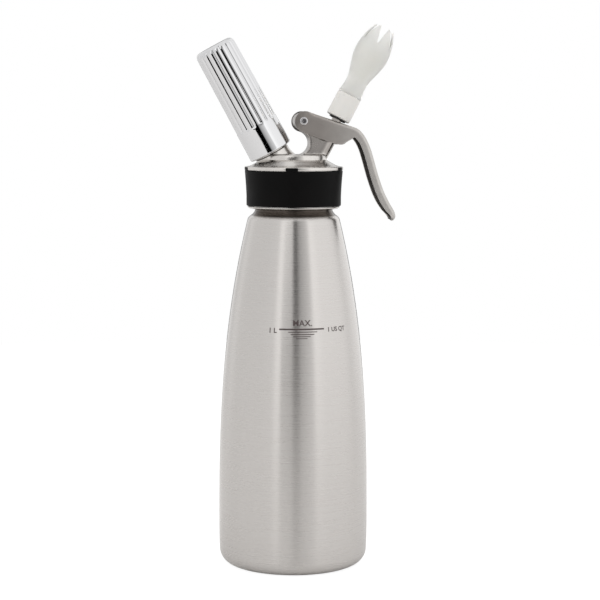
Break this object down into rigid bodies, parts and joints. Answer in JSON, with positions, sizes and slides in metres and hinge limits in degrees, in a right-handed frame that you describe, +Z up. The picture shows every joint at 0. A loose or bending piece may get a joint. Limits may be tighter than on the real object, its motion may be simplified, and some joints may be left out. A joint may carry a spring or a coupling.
{
  "type": "whipped cream dispenser",
  "caption": "Tapered steel bottle with a screw-on cast head, tilted gas charger holder, squeeze lever, spring-closed dispensing valve and tulip nozzle.",
  "frame": {"origin": "centre of the bottle's flat base, on the surface that it stands on", "axes": "+Z up along the bottle's axis; +X towards the lever and the nozzle, -X towards the charger holder; -Y is the side with the printed fill mark"},
  "size_m": [0.1273, 0.096, 0.3471],
  "materials": {
    "brushed_steel": "circumferentially brushed stainless steel",
    "cast_steel": "satin blasted stainless casting",
    "polished_chrome": "mirror polished",
    "pressed_steel": "fine satin pressed stainless sheet",
    "charger_steel": "smooth turned or drawn steel",
    "spring_steel": "drawn wire",
    "black_silicone": "matte moulded silicone",
    "seal_rubber": "moulded seal rubber",
    "adapter_plastic": "off-white moulded plastic",
    "nozzle_plastic": "translucent white moulded plastic"
  },
  "bodies": {
    "bottle": {"bottle": "brushed_steel"},
    "gasket": {"head_gasket": "seal_rubber"},
    "head": {"head_casting": "cast_steel", "grip_band": "black_silicone", "piercing_pin": "charger_steel", "charger_seal": "seal_rubber", "check_valve_cage": "charger_steel", "check_valve_spring": "spring_steel", "return_spring": "spring_steel"},
    "lever": {"lever": "pressed_steel", "lever_pin": "charger_steel"},
    "valve": {"valve_piston": "cast_steel", "piston_o_ring_upper": "seal_rubber", "piston_o_ring_lower": "seal_rubber", "seat_seal": "seal_rubber", "spring_cap": "pressed_steel", "retaining_clip": "spring_steel"},
    "washer": {"adapter_washer": "seal_rubber"},
    "adapter": {"tip_adapter": "adapter_plastic"},
    "nozzle": {"nozzle": "nozzle_plastic"},
    "charger": {"gas_charger": "charger_steel"},
    "holder": {"charger_holder": "polished_chrome"},
    "poppet": {"check_valve_poppet": "seal_rubber"}
  },
  "joints": [
    {"name": "head_rise", "type": "slide", "parent": "bottle", "child": "gasket", "axis": [0, 0, 1], "range_m": [0, 0.0121]},
    {"name": "head_turn", "type": "hinge", "parent": "gasket", "child": "head", "pos_m": [0, 0, 0.2496], "axis": [0, 0, 1], "range_deg": [0, 1080]},
    {"name": "lever_squeeze", "type": "hinge", "parent": "head", "child": "lever", "pos_m": [0.0051, 0, 0.2853], "axis": [0, 1, 0], "range_deg": [0, 10], "stiffness_Nm_per_rad": 0.8, "springref_deg": -11.46},
    {"name": "valve_stroke", "type": "slide", "parent": "head", "child": "valve", "axis": [0.4695, 0, 0.8829], "range_m": [-0.0036, 0], "deforming": ["return_spring"]},
    {"name": "adapter_rise", "type": "slide", "parent": "valve", "child": "washer", "axis": [0.4695, 0, 0.8829], "range_m": [0, 0.0081]},
    {"name": "adapter_turn", "type": "hinge", "parent": "washer", "child": "adapter", "pos_m": [0.02835, 0, 0.28728], "axis": [0.4695, 0, 0.8829], "range_deg": [0, 1440]},
    {"name": "nozzle_pull", "type": "slide", "parent": "adapter", "child": "nozzle", "axis": [0.4695, 0, 0.8829], "range_m": [0, 0.008]},
    {"name": "holder_rise", "type": "slide", "parent": "head", "child": "charger", "axis": [-0.4848, 0, 0.8746], "range_m": [0, 0.0101]},
    {"name": "holder_turn", "type": "hinge", "parent": "charger", "child": "holder", "pos_m": [-0.0148, 0, 0.266], "axis": [-0.4848, 0, 0.8746], "range_deg": [0, 1440]},
    {"name": "check_lift", "type": "slide", "parent": "head", "child": "poppet", "axis": [0.4848, 0, -0.8746], "range_m": [0, 0.0015], "stiffness_N_per_m": 60, "springref_m": -0.001, "deforming": ["check_valve_spring"]}
  ],
  "couplings": [
    {"joint": "head_rise", "follows": "head_turn", "m_per_rad": 0.00063662},
    {"joint": "valve_stroke", "follows": "lever_squeeze", "m_per_rad": -0.0196},
    {"joint": "adapter_rise", "follows": "adapter_turn", "m_per_rad": 0.00031831},
    {"joint": "holder_rise", "follows": "holder_turn", "m_per_rad": 0.00039789}
  ]
}
